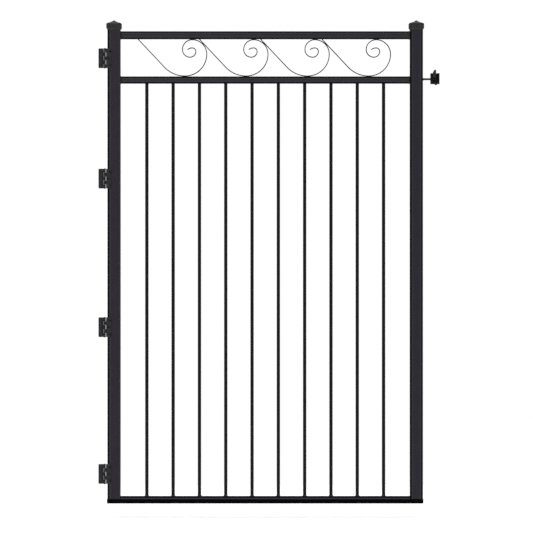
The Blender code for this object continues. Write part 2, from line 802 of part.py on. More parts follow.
def main():
    gate_axis = make_gate_axis()
    make_stiles(gate_axis)
    make_caps(gate_axis)
    make_rails(gate_axis)
    make_guard(gate_axis)
    make_pickets(gate_axis)
    make_scrolls(gate_axis)
    make_hinges(gate_axis)
    make_striker_rod(gate_axis)
    make_catch_housing()
    make_pivot_pin()
    make_pawl()


main()
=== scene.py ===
# %% [markdown]
# # A welded steel garden gate
# The gate is a frame of square tube with ten pickets, a row of scrolls, four
# butt hinges and a gravity catch. Its solids are already packed as a fixed
# frame, with the hinges and the catch as real joints. Here each solid gets a
# finished piece over it, a real finish, a floor, soft light and a camera.

import json
from math import cos, pi, radians, sin

import bmesh
import bpy
from mathutils import Matrix, Vector, noise

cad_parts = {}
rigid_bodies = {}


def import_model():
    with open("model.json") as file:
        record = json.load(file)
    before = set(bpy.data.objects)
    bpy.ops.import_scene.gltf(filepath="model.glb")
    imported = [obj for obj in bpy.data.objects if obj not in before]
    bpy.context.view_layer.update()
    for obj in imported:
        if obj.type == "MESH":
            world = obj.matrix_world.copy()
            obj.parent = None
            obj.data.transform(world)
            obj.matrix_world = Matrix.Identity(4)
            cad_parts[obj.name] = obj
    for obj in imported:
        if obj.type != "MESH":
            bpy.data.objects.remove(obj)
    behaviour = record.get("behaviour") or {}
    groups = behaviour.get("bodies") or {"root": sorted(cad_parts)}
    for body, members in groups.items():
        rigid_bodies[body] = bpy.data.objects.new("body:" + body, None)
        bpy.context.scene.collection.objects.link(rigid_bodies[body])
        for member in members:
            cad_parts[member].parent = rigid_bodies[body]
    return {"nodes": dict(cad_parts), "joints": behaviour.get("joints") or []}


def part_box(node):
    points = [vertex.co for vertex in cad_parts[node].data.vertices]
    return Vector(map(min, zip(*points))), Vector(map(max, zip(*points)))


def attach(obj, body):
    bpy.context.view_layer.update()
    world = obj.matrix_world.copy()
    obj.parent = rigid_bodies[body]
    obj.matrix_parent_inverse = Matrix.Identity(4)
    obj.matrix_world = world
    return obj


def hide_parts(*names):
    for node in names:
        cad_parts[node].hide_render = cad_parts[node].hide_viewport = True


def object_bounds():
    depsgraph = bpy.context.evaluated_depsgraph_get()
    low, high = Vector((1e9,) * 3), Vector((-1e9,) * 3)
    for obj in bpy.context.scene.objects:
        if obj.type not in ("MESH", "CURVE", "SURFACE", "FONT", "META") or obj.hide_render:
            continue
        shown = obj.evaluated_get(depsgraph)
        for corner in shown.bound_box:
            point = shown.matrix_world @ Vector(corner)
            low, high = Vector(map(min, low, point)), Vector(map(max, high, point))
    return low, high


for startup_object in list(bpy.data.objects):
    bpy.data.objects.remove(startup_object)

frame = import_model()
CAD_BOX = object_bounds()
MM = 0.001
print("gate with its hardware, in mm:", [round(side / MM, 1) for side in CAD_BOX[1] - CAD_BOX[0]])

# %% [markdown]
# ## Colours and nodes
# Paint charts give colours as sRGB hex values, while shaders work in linear
# light, so one function converts them. Another small function adds a node,
# sets its options, fills or links its sockets and hands back one output, which
# keeps each finish below readable from top to bottom.


# %% Two helpers for finishes
def linear(hex_colour):
    """An sRGB hex colour as linear RGBA."""
    shares = [int(hex_colour[i : i + 2], 16) / 255 for i in (1, 3, 5)]
    return [s / 12.92 if s <= 0.04045 else ((s + 0.055) / 1.055) ** 2.4 for s in shares] + [1]


def add_node(tree, kind, sockets=None, out=0, **options):
    """Adds a node and returns one of its outputs. Sockets go by name or number."""
    node = tree.nodes.new(kind)
    for option, value in options.items():
        setattr(node, option, value)
    for socket, value in (sockets or {}).items():
        if isinstance(value, bpy.types.NodeSocket):
            tree.links.new(value, node.inputs[socket])
        else:
            node.inputs[socket].default_value = value
    return node.outputs[out] if node.outputs else None


# The numbers of the sockets that share a name, on a Mix node that mixes colours
MIX_SHARE, MIX_FIRST, MIX_SECOND, MIX_COLOUR = 0, 6, 7, 2


def new_finish(name):
    """An empty material and its node tree."""
    finish = bpy.data.materials.new(name)
    finish.use_nodes = True
    finish.node_tree.nodes.clear()
    return finish, finish.node_tree


print("charcoal in linear light:", [round(c, 3) for c in linear("#33323a")])

# %% [markdown]
# ## Powder coat
# The tube is sprayed with dry powder and baked. The film flows into a faint
# orange peel a few millimetres across. Over the coat's own colour, painted
# shade darkens a line along each rounded corner to nearly black, and a painted
# highlight lightens a soft band beside it. Together they stand in for how the
# corners lose and catch the light. Noise gives the peel and slow mottling, and
# each tube carries an attribute that says where a point lies across its
# section, from which the distance to the nearest corner follows. Along the side
# of the hinge stile that faces the pickets, the painted shade line is left off.

# %% Where the painted edge shade goes
PAINTED_EDGE_SHADE = "#020202"  # nearly black painted shade along each corner
FULLY_SHADED_SHARE = 0.75  # share of the painted shade line's width that is fully dark


def corner_distance(tree, nearest="MAXIMUM"):
    """Metres from a tube's nearest corner, or with MINIMUM from a flat plate's nearest edge."""
    place = add_node(tree, "ShaderNodeAttribute", out="Vector", attribute_name="section")
    half = add_node(tree, "ShaderNodeAttribute", out="Vector", attribute_name="half_section")
    away = add_node(tree, "ShaderNodeVectorMath", {0: place}, operation="ABSOLUTE")
    left = add_node(tree, "ShaderNodeVectorMath", {0: half, 1: away}, operation="SUBTRACT")
    parts = add_node(tree, "ShaderNodeSeparateXYZ", {0: left}).node.outputs
    return add_node(tree, "ShaderNodeMath", {0: parts[0], 1: parts[1]}, operation=nearest)


def painted_edge_shade_and_highlight(tree, colour, corner, painted_highlight, reach, nearest="MAXIMUM"):
    """The colour with a painted shade line reach metres wide at each corner, and a painted
    highlight band beside it.

    Also returns the painted shade line's share, from 0 to 1, which also raises the roughness
    there.
    """
    away = corner_distance(tree, nearest)
    # Painted highlight: a soft lighter band just inside each corner's painted shade line.
    rise = add_node(tree, "ShaderNodeMapRange", {0: away, 1: reach, 2: reach + MM})
    fall_from, fall_to = reach + 2 * MM, reach + 6 * MM
    fall = add_node(tree, "ShaderNodeMapRange", {0: away, 1: fall_to, 2: fall_from})
    painted_highlight_share = add_node(tree, "ShaderNodeMath", {0: rise, 1: fall}, operation="MULTIPLY")
    highlighted = add_node(
        tree,
        "ShaderNodeMix",
        {MIX_SHARE: painted_highlight_share, MIX_FIRST: colour, MIX_SECOND: linear(painted_highlight)},
        out=MIX_COLOUR,
        data_type="RGBA",
    )
    # Painted shade: a dark line along each rounded corner.
    painted_shade_share = add_node(tree, "ShaderNodeMapRange", {0: away, 1: reach, 2: reach * FULLY_SHADED_SHARE})
    shaded_and_highlighted = add_node(
        tree,
        "ShaderNodeMix",
        {MIX_SHARE: painted_shade_share, MIX_FIRST: highlighted, MIX_SECOND: linear(corner)},
        out=MIX_COLOUR,
        data_type="RGBA",
    )
    return shaded_and_highlighted, painted_shade_share


print("share of each thin line that is fully thin:", FULLY_SHADED_SHARE)

# %% The coat itself
MOTTLE = 45 * MM  # slow unevenness of the film
MOTTLE_LIFT = 1.16  # how much lighter the thick patches are
GRAIN = 0.9 * MM  # the powder's own grain
COAT_GLOSS = 0.12  # low, because the fine peel scatters most of the mirror reflection


def sprayed_coat(name, face, roughness, peel=2.5 * MM, corner=PAINTED_EDGE_SHADE, painted_highlight=None, reach=0):
    """Baked powder coat. peel is the orange peel's spacing, and reach the width of its painted
    shade line at each corner.
    """
    finish, tree = new_finish(name)
    place = add_node(tree, "ShaderNodeTexCoord", out="Object")
    mottle = add_node(tree, "ShaderNodeTexNoise", {"Vector": place, "Scale": 1 / MOTTLE})
    mottle = add_node(tree, "ShaderNodeMapRange", {0: mottle, 1: 0.35, 2: 0.65})
    lighter = [c * MOTTLE_LIFT for c in linear(face)[:3]] + [1]
    colour = add_node(
        tree,
        "ShaderNodeMix",
        {MIX_SHARE: mottle, MIX_FIRST: linear(face), MIX_SECOND: lighter},
        out=MIX_COLOUR,
        data_type="RGBA",
    )
    grain = add_node(tree, "ShaderNodeTexNoise", {"Vector": place, "Scale": 1 / GRAIN})
    dull, shiny = roughness + 0.06, roughness - 0.05
    satin = add_node(tree, "ShaderNodeMapRange", {0: grain, 1: 0.3, 2: 0.7, 3: shiny, 4: dull})
    # Painted shade along the corners with a painted highlight band beside it; the shaded line is
    # also made rougher.
    if reach:
        colour, painted_shade_share = painted_edge_shade_and_highlight(tree, colour, corner, painted_highlight or face, reach)
        satin = add_node(tree, "ShaderNodeMix", {0: painted_shade_share, 2: satin, 3: 0.9}, data_type="FLOAT")
    waves = add_node(tree, "ShaderNodeTexNoise", {"Vector": place, "Scale": 1 / peel})
    bump = {"Height": waves, "Strength": 0.35, "Distance": 0.08 * MM}
    surface = {
        "Base Color": colour,
        "Roughness": satin,
        "IOR": 1.5,
        "Specular IOR Level": COAT_GLOSS,
        "Normal": add_node(tree, "ShaderNodeBump", bump),
    }
    coat = add_node(tree, "ShaderNodeBsdfPrincipled", surface)
    add_node(tree, "ShaderNodeOutputMaterial", {"Surface": coat})
    return finish


print("orange peel over mottling", round(MOTTLE / MM), "mm wide")

# %% Spray the frame, the bars, the caps and the welds
# Satin polyester powder, dark bluish charcoal: soft highlights, no clear reflections.
# Both carry painted shade along their corners, and the second colour given is the lighter painted
# highlight band beside it.
FRAME_COAT = sprayed_coat(
    "powder_coated_steel_sprayed_charcoal", "#211f26", 0.46, painted_highlight="#2c2b31", reach=7 * MM
)
RAIL_COAT = sprayed_coat(
    "powder_coated_steel_sprayed_rail", "#232227", 0.46, painted_highlight="#2f2e34", reach=6 * MM
)
# The thin bars are coloured nearly black: painted shade standing in for the dark edges that cover
# most of such a thin bar.
PICKET_SHADED_COAT = sprayed_coat("powder_coated_steel_black_painted_shade", "#0c0c0d", 0.42, reach=2 * MM)
SCROLL_COAT = sprayed_coat("powder_coated_steel_bent_black", "#080809", 0.42)
# Pressed caps are coated apart from the frame: neutral grey and a little duller.
CAP_COAT = sprayed_coat("powder_coated_steel_pressed_cap", "#414040", 0.50)
# Over a weld the film sits on coarse ripples, so its peel is drawn 6 mm wide.
WELD_COAT = sprayed_coat("powder_coated_weld_metal", "#29282c", 0.50, peel=6 * MM)
print("sprayed finishes:", len(bpy.data.materials))

# %% [markdown]
# ## Hardware, fixings and rubber
# The hinges and the catch are dipped in black e-coat, a thin even paint that
# lets the steel's grain show. The screws and pins are blackened steel, dark
# metal rather than paint. The foot guard is extruded rubber, matt, with fine
# lines along the way it was drawn out of the die. Its near-black colour is
# partly the rubber's own and partly painted shade along the gate's foot.

# %% How a dark finish is built
PATCHES = 14 * MM  # where handling has rubbed the finish
STRIP_GRAIN = 1.2 * MM
STRIP_GRAIN_DEPTH = 0.04 * MM
ALONG_STRIP = (1, 1, 0.35)  # stretches the grain along the strip it was rolled in
ALONG_DIE = (0.02, 1, 1)  # draws the rubber's lines out to their full length


def dark_finish(
    name, colour, rubbed, roughness, grain, depth, stretch=(1, 1, 1), gloss=None, reach=0
):
    """Dark steel or rubber. grain is its spacing and depth its height. No gloss means metal.

    reach is the width of the painted shade line round a plate that has section attributes.
    """
    finish, tree = new_finish(name)
    place = add_node(tree, "ShaderNodeTexCoord", out="Object")
    patches = add_node(tree, "ShaderNodeTexNoise", {"Vector": place, "Scale": 1 / PATCHES})
    patches = add_node(tree, "ShaderNodeMapRange", {0: patches, 1: 0.52, 2: 0.70})
    along = add_node(tree, "ShaderNodeMapping", {"Vector": place, "Scale": stretch})
    lines = add_node(tree, "ShaderNodeTexNoise", {"Vector": along, "Scale": 1 / grain})
    dull, shiny = roughness + 0.08, roughness - 0.07
    bump = {"Height": lines, "Strength": 0.4, "Distance": depth}
    wear_and_edge_shade = add_node(
        tree,
        "ShaderNodeMix",
        {MIX_SHARE: patches, MIX_FIRST: linear(colour), MIX_SECOND: linear(rubbed)},
        out=MIX_COLOUR,
        data_type="RGBA",
    )
    if reach:
        # Painted shade along the plate's edges, with the rubbed colour reused as a painted
        # highlight band beside it.
        wear_and_edge_shade = painted_edge_shade_and_highlight(tree, wear_and_edge_shade, PAINTED_EDGE_SHADE, rubbed, reach, nearest="MINIMUM")[0]
    surface = {
        "Base Color": wear_and_edge_shade,
        "Roughness": add_node(
            tree, "ShaderNodeMapRange", {0: lines, 1: 0.3, 2: 0.7, 3: shiny, 4: dull}
        ),
        "Normal": add_node(tree, "ShaderNodeBump", bump),
    }
    paint = {"IOR": 1.5, "Specular IOR Level": gloss}
    surface.update({"Metallic": 1.0} if gloss is None else paint)
    solid = add_node(tree, "ShaderNodeBsdfPrincipled", surface)
    add_node(tree, "ShaderNodeOutputMaterial", {"Surface": solid})
    return finish


print("rubbed patches in mm:", round(PATCHES / MM))

# %% Black e-coat, blackened steel and rubber
# Dipped e-coat over rolled strip: an even film with the strip's fine grain under it.
STRIP = (0.42, STRIP_GRAIN, STRIP_GRAIN_DEPTH, ALONG_STRIP)
E_COAT = dark_finish("e_coated_steel_dipped", "#1a1a1d", "#28282c", *STRIP, gloss=0.22)
# The post's leaves stand clear of the gate; a painted shade line runs round each one, with a
# painted highlight band beside it.
PLATE_COAT = dark_finish(
    "e_coated_steel_punched_plate", "#17171a", "#28282c", *STRIP, gloss=0.18, reach=4 * MM
)
# Blackened steel: the oxide is thin, so it shines like metal but stays dark.
BLACK_STEEL = dark_finish(
    "steel_turned_black_oxide", "#222123", "#3a393d", 0.38, 0.8 * MM, 0.03 * MM
)
# Extruded rubber, matt, its die lines drawn 3 mm apart to show; its near-black colour is partly
# the rubber's own and partly painted shade along the gate's foot.
RUBBER_AND_FOOT_SHADE = dark_finish(
    "rubber_extruded_and_foot_shade", "#020202", "#040405", 0.70, 3 * MM, 0.10 * MM, ALONG_DIE, gloss=0.03
)
print("all finishes:", [m.name for m in bpy.data.materials])

# %% [markdown]
# ## From a mesh to a piece
# Every piece is finished in the same few steps. It becomes a mesh object with
# smooth shading broken at real edges, and weighted normals keep its flat faces
# looking flat beside their rounded edges. It takes its finish, stands for the
# CAD nodes under it, and rides on their body so that it moves with the joint.


# %% The finishing steps
def finished_piece(name, shape, finish, body, slot, *nodes, sharp=35):
    """Turns a bmesh into a piece. Edges over sharp degrees stay crisp."""
    mesh = bpy.data.meshes.new(name)
    shape.to_mesh(mesh)
    shape.free()
    mesh.materials.append(finish)
    mesh.shade_smooth()
    mesh.set_sharp_from_angle(angle=radians(sharp))
    piece = bpy.data.objects.new(name, mesh)
    bpy.context.scene.collection.objects.link(piece)
    flats = piece.modifiers.new("flat faces stay flat", "WEIGHTED_NORMAL")
    flats.keep_sharp = True
    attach(piece, body)
    if nodes:
        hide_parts(*nodes)
    return piece


def soften(shape, width, over=30, segments=2):
    """Rounds every edge that turns by more than so many degrees."""
    edges = [e for e in shape.edges if e.is_manifold and e.calc_face_angle() > radians(over)]
    bmesh.ops.bevel(
        shape,
        geom=edges,
        offset=width,
        offset_type="OFFSET",
        affect="EDGES",
        segments=segments,
        profile=0.5,
        material=-1,
        clamp_overlap=True,
    )


def block(low, high):
    """A bmesh box from its low to its high corner."""
    shape = bmesh.new()
    bmesh.ops.create_cube(shape, size=1)
    bmesh.ops.scale(shape, vec=high - low, verts=shape.verts)
    bmesh.ops.translate(shape, vec=(low + high) / 2, verts=shape.verts)
    return shape


def merged(shapes):
    """Several closed bmeshes as one."""
    whole = bmesh.new()
    for shape in shapes:
        part = bpy.data.meshes.new("part")
        shape.to_mesh(part)
        shape.free()
        whole.from_mesh(part)
        bpy.data.meshes.remove(part)
    return whole


# %% [markdown]
# ## Square tube
# Stiles, rails and pickets are all cold-formed square tube: flat walls with
# small round corners. A box is enough to start from. Its four long edges are
# bevelled into the corners, the end faces are opened, and solidify gives the
# wall its thickness inwards, so the ends are truly hollow.


# %% Build one tube
def tube_in(box, axis, corner, wall):
    """Hollow square tube that fills a box along axis 0, 1 or 2."""
    shape = block(*box)
    ends = [f for f in shape.faces if abs(f.normal[axis]) > 0.5]
    long_edges = [e for e in shape.edges if not any(e in f.edges for f in ends)]
    bmesh.ops.bevel(
        shape,
        geom=long_edges,
        offset=corner,
        offset_type="OFFSET",
        affect="EDGES",
        segments=5,
        profile=0.5,
        material=-1,
    )
    ends = [f for f in shape.faces if abs(f.normal[axis]) > 0.999 and len(f.verts) > 4]
    bmesh.ops.delete(shape, geom=ends, context="FACES_ONLY")
    bmesh.ops.solidify(shape, geom=shape.faces[:], thickness=wall)
    return shape


def mark_section(piece, axis, edge_shade_squeeze=1):
    """Stores where each point lies across a tube, and half the tube's size there.

    The last argument, under 1, squeezes the tube's +X side so that no painted shade line shows on
    it.
    """
    low, high = (Vector(corner) for corner in (piece.bound_box[0], piece.bound_box[6]))
    middle, half = (low + high) / 2, (high - low) / 2
    first, second = [i for i in range(3) if i != axis]
    across = piece.data.attributes.new("section", "FLOAT_VECTOR", "POINT")
    reach = piece.data.attributes.new("half_section", "FLOAT_VECTOR", "POINT")
    for vertex, place, size in zip(piece.data.vertices, across.data, reach.data):
        away = vertex.co - middle
        share = edge_shade_squeeze if away[first] > 0 else 1
        place.vector = (away[first] * share, away[second], 0)
        size.vector = (half[first], half[second], 0)


print("each tube will know its corners")

# %% Stiles
STILE_CORNER = 3.5 * MM
STILE_WALL = 2 * MM
# On the hinge stile's side toward the pickets the section is squeezed, so its painted shade line
# is left off.
EDGE_SHADE_LEFT_OFF = 0.65
for node in ("hinge_stile", "latch_stile"):
    shape = tube_in(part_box(node), 2, STILE_CORNER, STILE_WALL)
    stile = finished_piece(node + "_tube", shape, FRAME_COAT, "gate", "frame_coat", node)
    mark_section(stile, 2, edge_shade_squeeze=EDGE_SHADE_LEFT_OFF if node == "hinge_stile" else 1)
    print(node, "tube:", len(stile.data.polygons), "faces")

# %% Rails and pickets
RAIL_CORNER = 2 * MM
RAIL_WALL = 1.6 * MM
for node in ("top_rail", "mid_rail", "bottom_rail"):
    shape = tube_in(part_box(node), 0, RAIL_CORNER, RAIL_WALL)
    rail = finished_piece(node + "_tube", shape, RAIL_COAT, "gate", "frame_coat", node)
    mark_section(rail, 0)

PICKET_CORNER = 1.5 * MM
PICKET_WALL = 1.2 * MM
PICKETS = sorted(node for node in frame["nodes"] if node.startswith("picket_"))
for node in PICKETS:
    shape = tube_in(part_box(node), 2, PICKET_CORNER, PICKET_WALL)
    picket = finished_piece(node + "_bar", shape, PICKET_SHADED_COAT, "gate", "infill_coat", node)
    mark_section(picket, 2)
print(len(PICKETS), "pickets")

# %% [markdown]
# ## Post caps
# Each cap is pressed from sheet: a square band that grips the tube, a rolled
# shoulder, and a low pyramid that dips before it rises to its point. Extruding
# one square face upwards, ring by ring, follows that profile exactly, and two
# bevels give the pressed radii: large on the band's corners, small elsewhere.

# %% Press the caps
CAP_RINGS = (  # height up the cap as a share, and half the width as a share
    (0.000, 0.895),
    (0.080, 0.930),
    (0.127, 1.000),
    (0.577, 1.000),
    (0.630, 0.985),
    (0.662, 0.949),
    (0.713, 0.814),
    (0.775, 0.559),
    (0.845, 0.356),
    (0.900, 0.230),
    (0.944, 0.152),
    (1.000, 0.066),
)
CAP_CORNER = 3.2 * MM
for node in ("hinge_stile_cap", "latch_stile_cap"):
    low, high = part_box(node)
    middle = (low + high) / 2
    half = (high.x - low.x) / 2
    shape = bmesh.new()
    bmesh.ops.create_grid(shape, x_segments=1, y_segments=1, size=1)
    face = shape.faces[:][0]
    size, level = 1, 0
    for height_share, width_share in CAP_RINGS:
        new_size, new_level = half * width_share, (high.z - low.z) * height_share
        if level or size != 1:
            face = bmesh.ops.extrude_face_region(shape, geom=[face])["geom"]
            face = next(item for item in face if isinstance(item, bmesh.types.BMFace))
        bmesh.ops.translate(shape, vec=(0, 0, new_level - level), verts=face.verts)
        bmesh.ops.scale(shape, vec=(new_size / size, new_size / size, 1), verts=face.verts)
        size, level = new_size, new_level
    bmesh.ops.recalc_face_normals(shape, faces=shape.faces)
    band_corners = [
        e
        for e in shape.edges
        if abs(e.verts[0].co.z - e.verts[1].co.z) > 0.5 * MM
        and max(v.co.z for v in e.verts) < (high.z - low.z) * 0.70
    ]
    bmesh.ops.bevel(
        shape,
        geom=band_corners,
        offset=CAP_CORNER,
        offset_type="OFFSET",
        affect="EDGES",
        segments=5,
        profile=0.5,
        material=-1,
    )
    bmesh.ops.translate(shape, vec=(middle.x, middle.y, low.z), verts=shape.verts)
    cap = finished_piece(node + "_pressing", shape, CAP_COAT, "gate", "cap_coat", node, sharp=50)
    print(node, "pressing:", len(cap.data.polygons), "faces")

# %% [markdown]
# ## Foot guard
# The guard is a shallow rubber tray pushed up over the feet of the frame. It
# is a box without its top, rounded underneath, with its wall added inwards by
# solidify.

# %% Mould the guard
GUARD_WALL = 1.5 * MM
GUARD_EDGE = 2.5 * MM
low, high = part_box("bottom_guard")
shape = block(low, high)
lid = [f for f in shape.faces if f.normal.z > 0.5]
bmesh.ops.delete(shape, geom=lid, context="FACES_ONLY")
bmesh.ops.bevel(
    shape,
    geom=[e for e in shape.edges if e.is_manifold],
    offset=GUARD_EDGE,
    offset_type="OFFSET",
    affect="EDGES",
    segments=4,
    profile=0.5,
    material=-1,
)
bmesh.ops.solidify(shape, geom=shape.faces[:], thickness=GUARD_WALL)
# Near-black rubber, partly painted shade along the gate's foot.
finished_piece("bottom_guard_tray", shape, RUBBER_AND_FOOT_SHADE, "gate", "guard_rubber", "bottom_guard")
print("guard wall in mm:", GUARD_WALL / MM)

# %% [markdown]
# ## Scrolls
# Each scroll is one length of flat bar bent cold around formers. It comes
# straight down from the top rail, sweeps along the middle rail, climbs to a
# shoulder and winds in through tighter and tighter quarter turns. Spin does
# just what the bender does: the bar's section is turned about one centre
# after another, so every arc meets the next without a kink.

# %% The bar's path, one former after another
BAR_THICKNESS = 3.4 * MM
BAR_DEPTH = 12 * MM
BAR_EDGE = 0.6 * MM
SLOPE = radians(46.8)
SWEEP_RADIUS = 108.8 * MM
BELLY_RADIUS = 84.6 * MM
CURL_RADII = (38.1 * MM, 29.6 * MM, 22.3 * MM, 13.6 * MM)
LIP_RADIUS = 29 * MM
LIP_TURN = radians(40)
SPIN_STEP = radians(3)
RAIL_GAP = 0.3 * MM

belly_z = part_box("mid_rail")[1].z + RAIL_GAP + BAR_THICKNESS / 2
shoulder_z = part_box("top_rail")[0].z - RAIL_GAP - BAR_THICKNESS / 2
shoulder_radius = shoulder_z - belly_z - BELLY_RADIUS
sweep_rise = SWEEP_RADIUS * (1 - cos(SLOPE))
straight_rise = shoulder_z - belly_z + BAR_THICKNESS / 2 * (1 - cos(SLOPE)) - sweep_rise
straight_length = straight_rise / sin(SLOPE)
straight_start_x = -SWEEP_RADIUS * sin(SLOPE) - straight_length * cos(SLOPE)
BENDS = [(SWEEP_RADIUS, SLOPE), (BELLY_RADIUS, pi / 2), (shoulder_radius, pi / 2)]
BENDS += [(radius, pi / 2) for radius in CURL_RADII] + [(LIP_RADIUS, LIP_TURN)]
print("shoulder radius in mm:", round(shoulder_radius / MM, 2))


# %% Bend the bar
def bar_section(start, heading):
    """The bar's rounded section, standing across its path at start."""
    shape = bmesh.new()
    bmesh.ops.create_grid(shape, x_segments=1, y_segments=1, size=0.5)
    bmesh.ops.scale(shape, vec=(BAR_THICKNESS, BAR_DEPTH, 1), verts=shape.verts)
    bmesh.ops.bevel(
        shape,
        geom=shape.verts[:],
        offset=BAR_EDGE,
        offset_type="OFFSET",
        affect="VERTICES",
        segments=3,
        profile=0.5,
        material=-1,
    )
    across = Vector((sin(heading), 0, -cos(heading)))
    ahead = Vector((cos(heading), 0, sin(heading)))
    stand = Matrix((across, (0, 1, 0), ahead)).transposed().to_4x4()
    bmesh.ops.transform(shape, matrix=Matrix.Translation(start) @ stand, verts=shape.verts)
    return shape


def bent_scroll(start):
    """Spins the section round each former in turn. start is the bar's upper end."""
    heading = -SLOPE
    shape = bar_section(start, heading)
    pushed = bmesh.ops.extrude_face_region(shape, geom=shape.faces[:])["geom"]
    ahead = Vector((cos(heading), 0, sin(heading)))
    moved = [item for item in pushed if isinstance(item, bmesh.types.BMVert)]
    bmesh.ops.translate(shape, vec=ahead * straight_length, verts=moved)
    place = start + ahead * straight_length
    end = pushed
    for radius, turn in BENDS:
        centre = place + Vector((-sin(heading), 0, cos(heading))) * radius
        end = bmesh.ops.spin(
            shape,
            geom=end,
            cent=centre,
            axis=(0, -1, 0),
            dvec=(0, 0, 0),
            angle=turn,
            steps=max(2, round(turn / SPIN_STEP)),
            space=Matrix.Identity(4),
            use_merge=False,
            use_normal_flip=False,
            use_duplicate=False,
        )["geom_last"]
        heading += turn
        place = centre + Vector((sin(heading), 0, -cos(heading))) * radius
    bmesh.ops.remove_doubles(shape, verts=shape.verts, dist=0.001 * MM)
    bmesh.ops.recalc_face_normals(shape, faces=shape.faces)
    return shape


print("steps in a quarter turn:", round(pi / 2 / SPIN_STEP))

# %% Bend the four scrolls
SCROLLS = sorted(node for node in frame["nodes"] if node.startswith("scroll_"))
scroll_starts = []
for node in SCROLLS:
    low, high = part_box(node)
    left_corner = BAR_THICKNESS / 2 * sin(SLOPE)
    start_z = shoulder_z + BAR_THICKNESS / 2 * (1 - cos(SLOPE))
    start = Vector((low.x + left_corner, (low.y + high.y) / 2, start_z))
    scroll_starts.append(start)
    shape = bent_scroll(start)
    scroll = finished_piece(node + "_bar", shape, SCROLL_COAT, "gate", "infill_coat", node)
    print(node, "bar:", len(scroll.data.polygons), "faces")

# %% [markdown]
# ## Weld beads
# The frame is welded and then sprayed, so every joint carries a bead under
# the coat. A fillet that runs round a picket's foot is a concave profile spun
# about the picket. A bead round a rail's end is a soft-edged collar. A spot
# where a scroll touches a rail is a flattened drop. All of them get ripples
# from one noise field, because a hand weld is never even.


# %% Turned solids
def turned(profile, centre, axis="Z", steps=32, cut=None):
    """A closed solid spun from (radius, height) points about an axis through centre."""
    shape = bmesh.new()
    points = [shape.verts.new((radius, 0, height)) for radius, height in profile]
    edges = [shape.edges.new(pair) for pair in zip(points, points[1:])]
    bmesh.ops.spin(
        shape,
        geom=points + edges,
        cent=(0, 0, 0),
        axis=(0, 0, 1),
        dvec=(0, 0, 0),
        angle=2 * pi,
        steps=steps,
        space=Matrix.Identity(4),
        use_merge=True,
        use_normal_flip=False,
        use_duplicate=False,
    )
    bmesh.ops.remove_doubles(shape, verts=shape.verts, dist=0.002 * MM)
    bmesh.ops.recalc_face_normals(shape, faces=shape.faces)
    if cut:
        cut(shape)
    turns = {"X": Matrix.Rotation(pi / 2, 4, "Y"), "Y": Matrix.Rotation(pi / 2, 4, "X")}
    stand = turns.get(axis, Matrix.Identity(4))
    bmesh.ops.transform(shape, matrix=Matrix.Translation(centre) @ stand, verts=shape.verts)
    return shape


print("turned solids are ready")

# %% Three shapes of weld
FILLET_STEPS = (0, 0.12, 0.28, 0.48, 0.70, 0.88, 1)  # up the fillet, as shares of its height
FILLET_HOLLOW = 2.2  # over 1 makes it concave


def rippled(shape, depth, spacing):
    """Pushes a weld's surface in and out a little, the way a hand bead freezes."""
    shape.normal_update()
    moves = [v.normal * noise.noise(v.co / spacing) * depth for v in shape.verts]
    for vertex, move in zip(shape.verts, moves):
        vertex.co += move
    return shape


def fillet_round(centre, neck, foot, height, axis="Z"):
    """A concave fillet that climbs from foot radius to neck radius."""
    lean = [(1 - share) ** FILLET_HOLLOW for share in FILLET_STEPS]
    rise = [share * height for share in FILLET_STEPS]
    wall = [(neck + (foot - neck) * out, up) for out, up in zip(lean, rise)]
    shape = turned([(0, 0)] + wall + [(0, height)], centre, axis, steps=36)
    return rippled(shape, 0.9 * MM, 5 * MM)


def collar(low, high, roundness):
    """A soft-edged bead that wraps a rail's end."""
    shape = block(low, high)
    bmesh.ops.subdivide_edges(shape, edges=shape.edges[:], cuts=7, use_grid_fill=True)
    soften(shape, roundness, over=60, segments=3)
    return rippled(shape, 0.5 * MM, 6 * MM)


def drop(centre, reach):
    """A flattened weld spot. reach is its half size along X, Y and Z."""
    shape = bmesh.new()
    bmesh.ops.create_icosphere(shape, subdivisions=3, radius=1)
    bmesh.ops.scale(shape, vec=reach, verts=shape.verts)
    bmesh.ops.translate(shape, vec=centre, verts=shape.verts)
    return rippled(shape, 0.6 * MM, 3 * MM)


print("weld shapes ready")

# %% Lay the picket and rail welds
FILLET_NECK, FILLET_FOOT, FILLET_HEIGHT = 6.4 * MM, 12 * MM, 5.5 * MM
SUNK = 0.3 * MM  # how far a bead reaches into what it is welded to
foot_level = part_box("bottom_rail")[1].z - SUNK
fillets = []
for node in PICKETS:
    low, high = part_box(node)
    middle = (low + high) / 2
    foot = Vector((middle.x, middle.y, foot_level))
    fillets.append(fillet_round(foot, FILLET_NECK, FILLET_FOOT, FILLET_HEIGHT))
finished_piece("picket_foot_welds", merged(fillets), WELD_COAT, "gate", "frame_coat", sharp=60)

BEAD = 3 * MM
collars = []
for node in ("top_rail", "mid_rail"):
    low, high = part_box(node)
    grow = Vector((0, 0.8 * MM, 0.8 * MM))
    reach = Vector((2 * BEAD, 0, 0))
    collars.append(collar(Vector((high.x, low.y, low.z)) - reach - grow, high + grow, 1.2 * MM))
    near = Vector((low.x + BEAD, high.y, high.z))
    collars.append(collar(low - grow * 0.6, near + grow * 0.6, 0.9 * MM))
finished_piece("rail_end_welds", merged(collars), WELD_COAT, "gate", "frame_coat", sharp=60)
print(len(fillets), "picket fillets and", len(collars), "rail collars")

